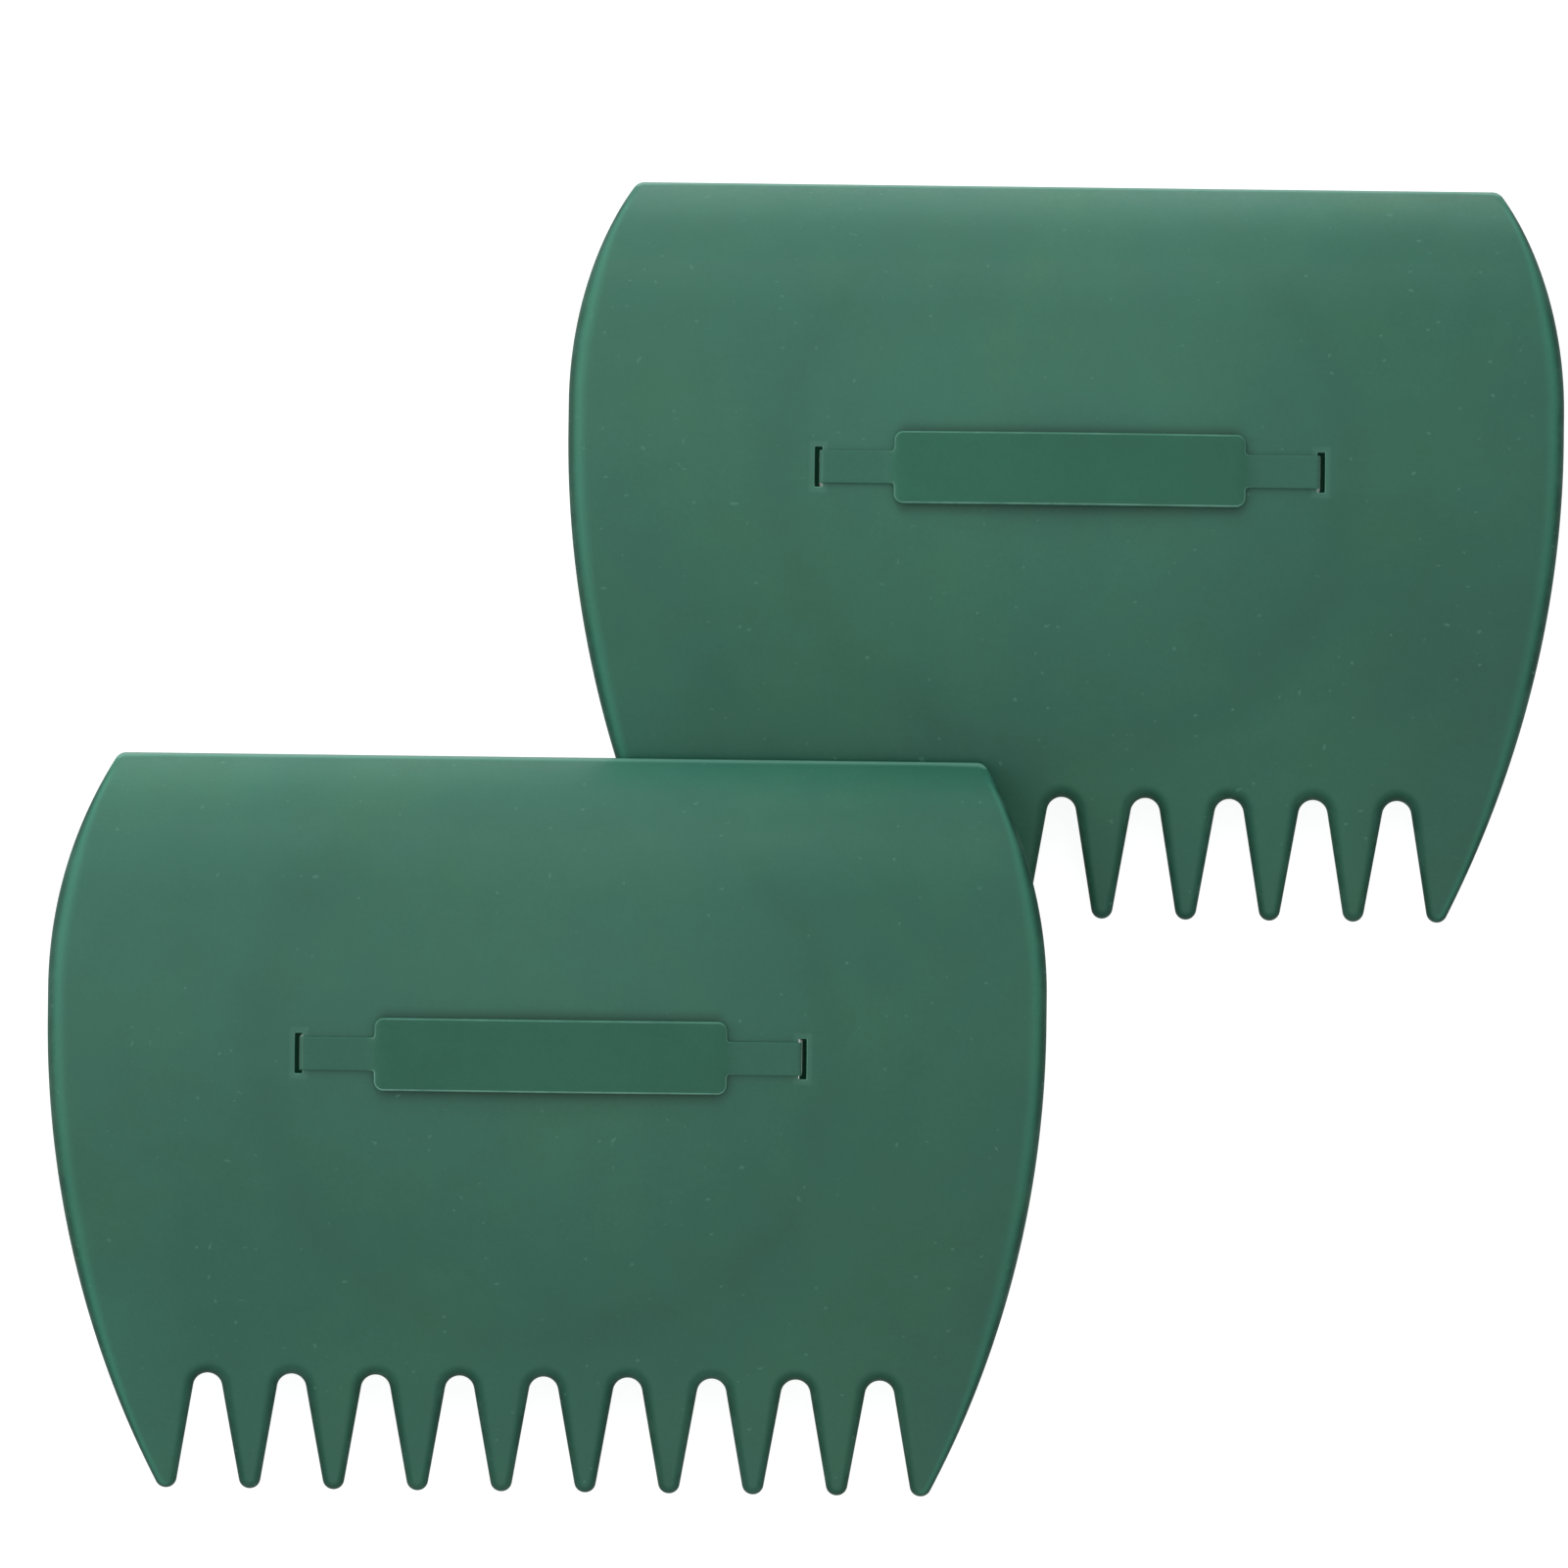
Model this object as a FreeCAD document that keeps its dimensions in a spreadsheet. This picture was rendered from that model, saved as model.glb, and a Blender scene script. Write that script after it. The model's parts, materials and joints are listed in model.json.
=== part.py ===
import FreeCAD, Part
import itertools
import math
import os

import Sketcher

# A pair of leaf grabber hands: two wide, toothed plastic scoops, one worn on each hand.
# Each scoop is a thin moulded shell, convex side up, with a one-piece hand strap that
# lies flat on the shell and pulls out through two slots.
#
# Frame: +X across the scoops, +Y from the teeth to the rolled heel, +Z up, millimetres.
# The origin is on the ground, below the middle of the pair. The rear scoop lies on the
# ground. The front scoop overlaps it: its teeth stand on the ground and its heel rests
# on the rear scoop. Each scoop is drawn about its strap's row, its heel foot at Z = 0.

DRIVING_DIMENSIONS = [
    ("overall_width", 360.0, "scoop width at its widest row"),
    ("heel_reach", 106.3, "from the strap row to the heel edge"),
    ("teeth_reach", 159.7, "from the strap row to the tips of the teeth"),
    ("crown_height", 44.0, "outer face above the ground at the strap row"),
    ("wall", 2.0, "moulded wall thickness"),
    ("rim_depth", 8.0, "turned rim, from the outer face to the cut edge"),
    ("rim_round", 3.0, "outer rounding of the rim"),
    ("tip_height", 4.5, "outer face above the ground at the tips"),
    ("heel_lip", 4.0, "upright lip at the heel"),
    ("roll_start", 57.0, "where the panel starts to roll over, from the strap row"),
    ("side_low", 12.2, "lower end of the side's straight stretch"),
    ("side_high", 22.8, "upper end of the side's straight stretch"),
    ("shoulder_radius", 159.0, "plan radius of the side towards the heel"),
    ("corner_radius", 4.4, "plan radius of the heel corners"),
    ("tooth_pitch", 30.35, "spacing of the teeth"),
    ("tip_radius", 3.9, "plan radius of the tips"),
    ("gap_reach", 116.9, "from the strap row to the top of each gap"),
    ("gap_radius", 5.3, "plan radius of the top of each gap"),
    ("gap_count", 9, "gaps between the ten teeth"),
    ("strap_offset", 1.5, "strap centre from the scoop's centre line"),
    ("slot_spacing", 180.2, "centre distance of the two strap slots"),
    ("slot_length", 14.8, "slot size along Y"),
    ("slot_width", 2.8, "slot size along X"),
    ("grip_length", 127.3, "wide part of the strap, along X"),
    ("grip_width", 26.5, "wide part of the strap, along Y"),
    ("grip_thickness", 2.2, "wide part of the strap, along Z"),
    ("grip_rise", 1.5, "how far the wide part bows up in the middle"),
    ("grip_corner", 3.5, "plan radius of the wide part's corners"),
    ("arm_width", 12.0, "narrow arms and legs of the strap, along Y"),
    ("arm_thickness", 1.4, "arms and legs of the strap"),
    ("strap_gap", 0.3, "running gap between the strap and the shell"),
    ("strap_travel", 28.0, "how far the strap pulls out"),
    ("stop_length", 20.0, "stop foot at the end of each leg, along Y"),
    ("stop_width", 5.6, "stop foot, from the leg's inner side outwards, along X"),
    ("stop_height", 3.0, "stop foot, along Z"),
    ("pair_shift_x", 184.6, "rear scoop from the front scoop, along X"),
    ("pair_shift_y", 210.2, "rear scoop from the front scoop, along Y"),
    ("stack_gap", 0.3, "gap between the front scoop's heel and the rear scoop"),
]

# How far the trimming shapes run past the material that they cut away.
OVERCUT = 20.0
# How far the panel's section runs past the heel and the tips before it is trimmed.
SECTION_OVERRUN = 1.2
# Points closer than this are the same point.
SAME_POINT = 1e-6
# Points closer than this to the outer face lie on it.
ON_FACE = 1e-3

# Sketcher's numbers for a curve's start, end and centre, and for the sketch's own origin.
START, END, CENTRE = 1, 2, 3
ORIGIN = (-1, 1)

doc = FreeCAD.newDocument("leaf_grabber_hands")
sheet = doc.addObject("Spreadsheet::Sheet", "dims")
for row, (alias, value, meaning) in enumerate(DRIVING_DIMENSIONS, start=1):
    sheet.set("A%d" % row, meaning)
    sheet.set("B%d" % row, str(value))
    sheet.setAlias("B%d" % row, alias)
doc.recompute()


def dim(alias):
    return float(sheet.get(alias))


# ---------------------------------------------------------------- sketch helpers

def on_circle(centre, radius, degrees):
    turn = math.radians(degrees)
    return (centre[0] + radius * math.cos(turn), centre[1] + radius * math.sin(turn))


def angle_of(centre, point):
    return math.degrees(math.atan2(point[1] - centre[1], point[0] - centre[0]))


def line(start, end):
    return Part.LineSegment(FreeCAD.Vector(*start, 0), FreeCAD.Vector(*end, 0))


def arc(centre, radius, start_degrees, end_degrees):
    stations = (start_degrees, (start_degrees + end_degrees) / 2, end_degrees)
    points = [FreeCAD.Vector(*on_circle(centre, radius, turn), 0) for turn in stations]
    return Part.Arc(*points)


def new_body(label):
    body = doc.addObject("PartDesign::Body", label)
    body.Label = label
    return body


def origin_feature(body, role):
    return next(item for item in body.Origin.OriginFeatures if item.Role == role)


def new_sketch(body, name, plane_role):
    sketch = body.newObject("Sketcher::SketchObject", body.Name + "_" + name)
    sketch.AttachmentSupport = [(origin_feature(body, plane_role), "")]
    sketch.MapMode = "FlatFace"
    return sketch


def add_loop(sketch, curves):
    """Add the curves of a closed loop, tie their ends, and return the first one's number."""
    first = sketch.GeometryCount
    for curve in curves:
        sketch.addGeometry(curve, False)
    ends = [(number, end) for number in range(first, first + len(curves)) for end in (START, END)]
    for one, other in itertools.combinations(ends, 2):
        if sketch.getPoint(*one).distanceToPoint(sketch.getPoint(*other)) < SAME_POINT:
            sketch.addConstraint(Sketcher.Constraint("Coincident", *one, *other))
    return first


def measured(sketch, kind, geometry):
    """The present size of a radius, or of a distance between two points of a sketch."""
    if kind == "Radius":
        return sketch.Geometry[geometry[0]].Radius
    run = sketch.getPoint(*geometry[2:]) - sketch.getPoint(*geometry[:2])
    return run.x if kind == "DistanceX" else run.y


def bind(sketch, kind, geometry, expression):
    """Add a dimension to a sketch and drive it from the sheet."""
    size = measured(sketch, kind, geometry)
    index = sketch.addConstraint(Sketcher.Constraint(kind, *geometry, size))
    sketch.setExpression("Constraints[%d]" % index, expression)


def add_box_outline(sketch, low, high):
    """Add a rectangle and return its bottom line's number. The others follow anticlockwise."""
    corners = [low, (high[0], low[1]), high, (low[0], high[1])]
    sides = [line(corner, corners[(index + 1) % 4]) for index, corner in enumerate(corners)]
    return add_loop(sketch, sides)


def bind_box_size(sketch, bottom, size_x, size_y):
    bind(sketch, "DistanceX", (bottom, START, bottom, END), size_x)
    bind(sketch, "DistanceY", (bottom + 1, START, bottom + 1, END), size_y)


def pad_both_ways(body, sketch, name, expression):
    pad = body.newObject("PartDesign::Pad", body.Name + "_" + name)
    pad.Profile = sketch
    pad.SideType = "Symmetric"
    pad.setExpression("Length", expression)
    return pad


def cut_through(body, sketch, name):
    pocket = body.newObject("PartDesign::Pocket", body.Name + "_" + name)
    pocket.Profile = sketch
    pocket.SideType = "Symmetric"
    pocket.Type = "ThroughAll"
    return pocket


# ---------------------------------------------------------------- side section

class Section:
    """The shell's side section, in Y and Z: a long arc that rolls over at the heel."""

    def __init__(self):
        drop = dim("crown_height") - dim("tip_height")
        reach = dim("teeth_reach")
        self.panel_radius = reach ** 2 / (2 * drop) + drop / 2
        self.panel_centre = (0.0, dim("crown_height") - self.panel_radius)
        self.join_turn = math.degrees(math.asin(dim("roll_start") / self.panel_radius))
        join = on_circle(self.panel_centre, self.panel_radius, 90 - self.join_turn)
        run = dim("heel_reach") - join[0]
        fall = join[1] - dim("heel_lip")
        end_turn = 2 * math.degrees(math.atan2(fall, run)) - self.join_turn
        sine_rise = math.sin(math.radians(end_turn)) - math.sin(math.radians(self.join_turn))
        self.roll_radius = run / sine_rise
        self.roll_centre = on_circle(join, -self.roll_radius, 90 - self.join_turn)

    def height(self, y, inset=0.0):
        """Height of the outer face, or of a face that lies inset below it."""
        split = dim("roll_start") * (1 - inset / self.panel_radius)
        centre, radius = self.panel_centre, self.panel_radius
        if y > split:
            centre, radius = self.roll_centre, self.roll_radius
        return centre[1] + math.sqrt((radius - inset) ** 2 - (y - centre[0]) ** 2)

    def roll_point_at(self, height, inset):
        """Point of the rolled part, at an inset, that has this height."""
        reach = math.sqrt((self.roll_radius - inset) ** 2 - (height - self.roll_centre[1]) ** 2)
        return (self.roll_centre[0] + reach, height)

    def upper_curves(self, inset, start_y, end_point):
        """The panel arc and the roll arc, from beyond the teeth to the heel."""
        panel_radius = self.panel_radius - inset
        start = (start_y, self.height(start_y, inset))
        join_degrees = 90 - self.join_turn
        panel = arc(self.panel_centre, panel_radius, angle_of(self.panel_centre, start), join_degrees)
        roll_end = angle_of(self.roll_centre, end_point)
        roll = arc(self.roll_centre, self.roll_radius - inset, join_degrees, roll_end)
        return start, [panel, roll]

    def rim_arc(self, end_y):
        """The rim's cut edge: tangent to the roll, thinning to nothing at the tips."""
        outward = (math.sin(math.radians(self.join_turn)), math.cos(math.radians(self.join_turn)))
        reach = self.panel_radius - dim("rim_depth")
        join = on_circle(self.panel_centre, reach, 90 - self.join_turn)
        run = (-dim("teeth_reach") - join[0], -join[1])
        across = outward[0] * run[0] + outward[1] * run[1]
        radius = -(run[0] ** 2 + run[1] ** 2) / (2 * across)
        centre = on_circle(join, -radius, 90 - self.join_turn)
        end = (end_y, centre[1] + math.sqrt(radius ** 2 - (end_y - centre[0]) ** 2))
        return arc(centre, radius, 90 - self.join_turn, angle_of(centre, end)), end


section = Section()


def band_curves():
    """Closed section of the shell with its full rim depth."""
    depth = dim("rim_depth")
    start_y = -dim("teeth_reach") - SECTION_OVERRUN
    heel_y = dim("heel_reach") + SECTION_OVERRUN
    heel = (heel_y, section.height(heel_y))
    start, curves = section.upper_curves(0.0, start_y, heel)
    foot = section.roll_point_at(0.0, depth)
    inner_roll = arc(
        section.roll_centre, section.roll_radius - depth,
        angle_of(section.roll_centre, foot), 90 - section.join_turn)
    rim, rim_end = section.rim_arc(start_y)
    lip = [line(heel, (heel_y, 0)), line((heel_y, 0), foot)]
    return curves + lip + [inner_roll, rim, line(rim_end, start)]


def core_curves():
    """Closed section of the hollow under the shell, open to the ground."""
    wall = dim("wall")
    start_y = -dim("teeth_reach") - SECTION_OVERRUN
    heel = section.roll_point_at(wall, wall)
    start, curves = section.upper_curves(wall, start_y, heel)
    foot_end = (dim("heel_reach") - 2 * dim("rim_depth"), wall)
    path = [heel, foot_end, (foot_end[0], -OVERCUT), (start_y, -OVERCUT), start]
    return curves + [line(path[index], path[index + 1]) for index in range(len(path) - 1)]


# ---------------------------------------------------------------- plan outline

def side_curves(inset):
    """The right side in plan, from the heel's corner down to the outer tooth's tip."""
    half_width = dim("overall_width") / 2 - inset
    corner_radius = dim("corner_radius") - inset
    shoulder_radius = dim("shoulder_radius") - inset
    tip_radius = dim("tip_radius") - inset
    tip_centre = (dim("tooth_pitch") * dim("gap_count") / 2, dim("tip_radius") - dim("teeth_reach"))

    shoulder_centre = (half_width - shoulder_radius, dim("side_high"))
    corner_y = dim("heel_reach") - dim("corner_radius")
    centre_distance = shoulder_radius - corner_radius
    corner_rise = corner_y - shoulder_centre[1]
    corner_run = math.sqrt(centre_distance ** 2 - corner_rise ** 2)
    corner_centre = (shoulder_centre[0] + corner_run, corner_y)
    corner_end = angle_of(shoulder_centre, corner_centre)

    inward = half_width - tip_centre[0]
    fall = dim("side_low") - tip_centre[1]
    flank_radius = (inward ** 2 + fall ** 2 - tip_radius ** 2) / (2 * (inward - tip_radius))
    flank_centre = (half_width - flank_radius, dim("side_low"))
    flank_end = angle_of(flank_centre, tip_centre)
    return [
        arc(corner_centre, corner_radius, 90, corner_end),
        arc(shoulder_centre, shoulder_radius, corner_end, 0),
        line((half_width, dim("side_high")), (half_width, dim("side_low"))),
        arc(flank_centre, flank_radius, 0, flank_end),
        arc(tip_centre, tip_radius, flank_end, -90),
    ]


def mirrored(curve):
    copy = curve.copy()
    copy.mirror(FreeCAD.Vector(0, 0, 0), FreeCAD.Vector(0, 1, 0))
    return copy


def outline_curves(inset):
    """The scoop's outline in plan, before the gaps between the teeth are cut."""
    right = side_curves(inset)
    heel_end = right[0].StartPoint
    tip_end = right[-1].EndPoint
    left = [mirrored(curve) for curve in right]
    heel = line((-heel_end.x, heel_end.y), (heel_end.x, heel_end.y))
    tips = line((tip_end.x, tip_end.y), (-tip_end.x, tip_end.y))
    return [heel] + right + [tips] + left


def gap_curves(inset, middle_x):
    """One gap between two teeth: an arch whose flanks run out into the two tips."""
    root_radius = dim("gap_radius") + inset
    tip_radius = dim("tip_radius") - inset
    half_pitch = dim("tooth_pitch") / 2
    root_y = -dim("gap_reach") - dim("gap_radius")
    tip_y = dim("tip_radius") - dim("teeth_reach")
    drop = root_y - tip_y
    centre_distance = math.hypot(half_pitch, drop)
    lean = math.atan2(half_pitch, drop) - math.asin((root_radius + tip_radius) / centre_distance)
    lean_degrees = math.degrees(lean)
    bottom = tip_y - tip_radius - OVERCUT

    root = (middle_x, root_y)
    left_tip = (middle_x - half_pitch, tip_y)
    right_tip = (middle_x + half_pitch, tip_y)
    arch_left = on_circle(root, root_radius, 180 - lean_degrees)
    arch_right = on_circle(root, root_radius, lean_degrees)
    tip_left = on_circle(left_tip, tip_radius, -lean_degrees)
    tip_right = on_circle(right_tip, tip_radius, 180 + lean_degrees)
    low_left = on_circle(left_tip, tip_radius, -90)
    low_right = on_circle(right_tip, tip_radius, -90)
    return [
        arc(left_tip, tip_radius, -90, -lean_degrees),
        line(tip_left, arch_left),
        arc(root, root_radius, 180 - lean_degrees, lean_degrees),
        line(arch_right, tip_right),
        arc(right_tip, tip_radius, 180 + lean_degrees, 270),
        line(low_right, (low_right[0], bottom)),
        line((low_right[0], bottom), (low_left[0], bottom)),
        line((low_left[0], bottom), low_left),
    ]


# ---------------------------------------------------------------- scoop shell

def toothed_body(label, section_curves, inset):
    """A section drawn out across the scoop, trimmed to the toothed outline.

    inset is 0 for the outer body, or the wall for the hollow core."""
    shrink = " - dims.wall" if inset else ""
    grow = " + dims.wall" if inset else ""
    body = new_body(label)
    side = new_sketch(body, "section", "YZ_Plane")
    panel = add_loop(side, section_curves)
    drop = "(dims.crown_height - dims.tip_height)"
    panel_radius = "dims.teeth_reach ^ 2 / (2 * " + drop + ") + " + drop + " / 2"
    bind(side, "Radius", (panel,), panel_radius + shrink)
    pad_both_ways(body, side, "panel", "dims.overall_width + %g" % OVERCUT)

    trim = new_sketch(body, "outline", "XY_Plane")
    reach = dim("overall_width")
    add_box_outline(trim, (-reach, -reach), (reach, reach))
    heel = add_loop(trim, outline_curves(inset))
    for corner in (heel + 1, heel + 7):
        bind(trim, "Radius", (corner,), "dims.corner_radius" + shrink)
        bind(trim, "Radius", (corner + 1,), "dims.shoulder_radius" + shrink)
        bind(trim, "Radius", (corner + 4,), "dims.tip_radius" + shrink)
    cut_through(body, trim, "trim")

    first_gap_x = -dim("tooth_pitch") * (dim("gap_count") - 1) / 2
    gap = new_sketch(body, "gap", "XY_Plane")
    left_tip = add_loop(gap, gap_curves(inset, first_gap_x))
    arch, right_tip = left_tip + 2, left_tip + 4
    bind(gap, "Radius", (arch,), "dims.gap_radius" + grow)
    bind(gap, "Radius", (left_tip,), "dims.tip_radius" + shrink)
    bind(gap, "Radius", (right_tip,), "dims.tip_radius" + shrink)
    bind(gap, "DistanceX", (left_tip, CENTRE, right_tip, CENTRE), "dims.tooth_pitch")
    bind(gap, "DistanceY", (arch, CENTRE, *ORIGIN), "dims.gap_reach + dims.gap_radius")
    gap_cut = cut_through(body, gap, "gap_cut")
    teeth = body.newObject("PartDesign::LinearPattern", label + "_teeth")
    teeth.Originals = [gap_cut]
    teeth.Direction = (origin_feature(body, "X_Axis"), [""])
    teeth.setExpression("Length", "dims.tooth_pitch * (dims.gap_count - 1)")
    teeth.setExpression("Occurrences", "dims.gap_count")
    body.Tip = teeth
    doc.recompute()
    return body, teeth


def on_outer_rim(edge):
    """True for an edge between the outer face and the sides, heel or teeth."""
    span = edge.LastParameter - edge.FirstParameter
    points = [edge.valueAt(edge.FirstParameter + span * part) for part in (0.0, 0.5, 1.0)]
    on_face = all(abs(point.z - section.height(point.y)) < ON_FACE for point in points)
    across = max(point.y for point in points) - min(point.y for point in points) < SAME_POINT
    roll_seam = across and abs(points[0].y - dim("roll_start")) < ON_FACE
    return on_face and not roll_seam


def make_shell(label):
    """The outer body with its rim rounded and its slots cut, less the hollow core."""
    outer, teeth = toothed_body(label + "_outer", band_curves(), 0.0)
    numbered = enumerate(teeth.Shape.Edges, start=1)
    rim_edges = ["Edge%d" % number for number, edge in numbered if on_outer_rim(edge)]
    rounded = outer.newObject("PartDesign::Fillet", label + "_rim_round")
    rounded.Base = (teeth, rim_edges)
    rounded.setExpression("Radius", "dims.rim_round")
    outer.Tip = rounded

    slots = new_sketch(outer, "slots", "XY_Plane")
    for side in (-1, 1):
        middle = dim("strap_offset") + side * dim("slot_spacing") / 2
        low = (middle - dim("slot_width") / 2, -dim("slot_length") / 2)
        high = (middle + dim("slot_width") / 2, dim("slot_length") / 2)
        bind_box_size(slots, add_box_outline(slots, low, high), "dims.slot_width", "dims.slot_length")
    cut_through(outer, slots, "slot_cut")

    core = toothed_body(label + "_core", core_curves(), dim("wall"))[0]
    shell = doc.addObject("Part::Cut", label)
    shell.Base = outer
    shell.Tool = core
    shell.Label = label
    return shell


# ---------------------------------------------------------------- hand strap

def make_strap(label):
    """One-piece strap: a bowed grip, two narrow arms, two legs and their stop feet."""
    body = new_body(label)
    shell_top = dim("crown_height")
    underside = shell_top + dim("strap_gap")
    arm_top = underside + dim("arm_thickness")
    centre = dim("strap_offset")
    leg_outer = dim("slot_spacing") / 2 + dim("arm_thickness") / 2
    leg_inner = leg_outer - dim("arm_thickness")
    stop_top = shell_top - dim("wall") - dim("strap_gap") - dim("strap_travel")
    stop_bottom = stop_top - dim("stop_height")

    arms = new_sketch(body, "arms", "XZ_Plane")
    path = [
        (centre - leg_outer, stop_bottom),
        (centre - leg_inner, stop_bottom),
        (centre - leg_inner, underside),
        (centre + leg_inner, underside),
        (centre + leg_inner, stop_bottom),
        (centre + leg_outer, stop_bottom),
        (centre + leg_outer, arm_top),
        (centre - leg_outer, arm_top),
    ]
    closing = add_loop(arms, [line(path[index - 1], path[index]) for index in range(len(path))])
    left_foot, right_foot, left_side = closing + 1, closing + 5, closing
    for foot in (left_foot, right_foot):
        bind(arms, "DistanceX", (foot, START, foot, END), "dims.arm_thickness")
    bind(arms, "DistanceX", (left_foot, START, right_foot, START), "dims.slot_spacing")
    leg = "dims.wall + 2 * dims.strap_gap + dims.strap_travel + dims.stop_height + dims.arm_thickness"
    bind(arms, "DistanceY", (left_side, END, left_side, START), leg)
    pad_both_ways(body, arms, "arm_pad", "dims.arm_width")

    half_grip = dim("grip_length") / 2
    rise = dim("grip_rise")
    bow_radius = (half_grip ** 2 + rise ** 2) / (2 * rise)
    bow_turn = math.degrees(math.asin(half_grip / bow_radius))
    bow_centre = (centre, underside + rise - bow_radius)
    grip = new_sketch(body, "grip", "XZ_Plane")
    low_left = on_circle(bow_centre, bow_radius, 90 + bow_turn)
    low_right = on_circle(bow_centre, bow_radius, 90 - bow_turn)
    thickness = dim("grip_thickness")
    high_centre = (centre, bow_centre[1] + thickness)
    high_left = on_circle(high_centre, bow_radius, 90 + bow_turn)
    high_right = on_circle(high_centre, bow_radius, 90 - bow_turn)
    under = add_loop(grip, [
        arc(bow_centre, bow_radius, 90 + bow_turn, 90 - bow_turn),
        line(low_right, high_right),
        arc(high_centre, bow_radius, 90 - bow_turn, 90 + bow_turn),
        line(high_left, low_left),
    ])
    right_end, left_end = under + 1, under + 3
    bind(grip, "DistanceX", (left_end, END, right_end, START), "dims.grip_length")
    bind(grip, "DistanceY", (right_end, START, right_end, END), "dims.grip_thickness")
    pad_both_ways(body, grip, "grip_pad", "dims.grip_width")

    stops = new_sketch(body, "stops", "XZ_Plane")
    for side in (-1, 1):
        ankle = centre + side * leg_inner
        low_x, high_x = sorted((ankle, ankle + side * dim("stop_width")))
        bottom = add_box_outline(stops, (low_x, stop_bottom), (high_x, stop_top))
        bind_box_size(stops, bottom, "dims.stop_width", "dims.stop_height")
    stop_pad = pad_both_ways(body, stops, "stop_pad", "dims.stop_length")
    doc.recompute()

    corner_edges = []
    for number, edge in enumerate(stop_pad.Shape.Edges, start=1):
        box = edge.BoundBox
        upright = box.XLength < SAME_POINT and box.YLength < SAME_POINT
        at_grip_side = abs(abs(box.Center.y) - dim("grip_width") / 2) < SAME_POINT
        if upright and at_grip_side and box.ZMin > shell_top:
            corner_edges.append("Edge%d" % number)
    corners = body.newObject("PartDesign::Fillet", label + "_grip_corners")
    corners.Base = (stop_pad, corner_edges)
    corners.setExpression("Radius", "dims.grip_corner")
    body.Tip = corners
    return body


# ---------------------------------------------------------------- the pair

def front_scoop_lean():
    """The lean in degrees that sets the front heel's edge just above the rear scoop."""
    reach = dim("heel_reach") + dim("teeth_reach")
    contact_y = dim("heel_reach") - dim("pair_shift_y")
    lean = 0.0
    for _ in range(20):
        shortening = reach * (1 - math.cos(lean))
        support = section.height(contact_y - shortening) + dim("stack_gap")
        lean = math.asin(support / reach)
    return math.degrees(lean)


def scoop_placements():
    """Placements of the rear and the front scoop, with the pair centred on the origin."""
    span_y = dim("teeth_reach") + dim("pair_shift_y") + dim("heel_reach")
    tips_y = -span_y / 2
    rear = FreeCAD.Placement()
    rear.Base = FreeCAD.Vector(dim("pair_shift_x") / 2, span_y / 2 - dim("heel_reach"), 0)
    lean = FreeCAD.Rotation(FreeCAD.Vector(1, 0, 0), front_scoop_lean())
    to_tips = lean.multVec(FreeCAD.Vector(0, -dim("teeth_reach"), 0))
    front = FreeCAD.Placement()
    front.Rotation = lean
    front.Base = FreeCAD.Vector(-dim("pair_shift_x") / 2, tips_y - to_tips.y, -to_tips.z)
    return {"rear": rear, "front": front}


nodes = []
for place, placement in scoop_placements().items():
    shell = make_shell(place + "_scoop_shell")
    strap = make_strap(place + "_hand_strap")
    shell.Placement = placement
    strap.Placement = placement
    nodes += [shell, strap]
doc.recompute()

for item in doc.Objects:
    if "Invalid" in item.State or "Error" in item.State:
        raise RuntimeError("%s failed: %s" % (item.Label, item.State))
for node in nodes:
    if node.Shape.isNull() or not node.Shape.isValid():
        raise RuntimeError("%s has no valid shape" % node.Label)

os.makedirs("parts", exist_ok=True)
for node in nodes:
    node.Shape.exportStep("parts/%s.step" % node.Label)
    print("%-20s volume %.1f mm3, %s" % (node.Label, node.Shape.Volume, node.Shape.BoundBox))
print("front scoop leans %.3f degrees" % front_scoop_lean())
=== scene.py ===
import json
import math

import bmesh
import bpy
import numpy as np
from mathutils import Matrix, Vector
from mathutils.geometry import delaunay_2d_cdt


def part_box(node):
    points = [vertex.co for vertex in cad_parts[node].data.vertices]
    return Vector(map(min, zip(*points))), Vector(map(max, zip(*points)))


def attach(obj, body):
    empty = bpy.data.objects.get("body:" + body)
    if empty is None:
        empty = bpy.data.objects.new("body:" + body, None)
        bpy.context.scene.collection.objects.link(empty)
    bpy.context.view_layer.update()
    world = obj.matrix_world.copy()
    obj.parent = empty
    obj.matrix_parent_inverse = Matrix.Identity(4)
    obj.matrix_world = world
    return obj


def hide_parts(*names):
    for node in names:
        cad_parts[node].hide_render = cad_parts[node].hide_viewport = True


# A pair of leaf grabber hands: two toothed plastic scoops, each with a pull-out hand strap.
# The shape functions work in millimetres, in a scoop's own frame: X across, Y from the teeth
# to the heel with 0 at the strap's row, and Z up with 0 at the heel's foot. The materials
# work in metres in the same frame.

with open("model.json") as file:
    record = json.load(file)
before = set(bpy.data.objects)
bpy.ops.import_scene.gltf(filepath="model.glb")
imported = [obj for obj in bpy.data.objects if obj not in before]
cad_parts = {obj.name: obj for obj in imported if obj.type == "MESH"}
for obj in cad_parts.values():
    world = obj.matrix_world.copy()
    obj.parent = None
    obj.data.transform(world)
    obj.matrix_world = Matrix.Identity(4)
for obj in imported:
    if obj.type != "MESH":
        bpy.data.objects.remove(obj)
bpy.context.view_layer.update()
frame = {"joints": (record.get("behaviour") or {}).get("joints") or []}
MM = 0.001


# ---------------------------------------------------------------- where the scoops are

REAR_LOW, REAR_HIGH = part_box("rear_scoop_shell")
FRONT_LOW, FRONT_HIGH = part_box("front_scoop_shell")
STRAP_LOW, STRAP_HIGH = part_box("rear_hand_strap")

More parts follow.
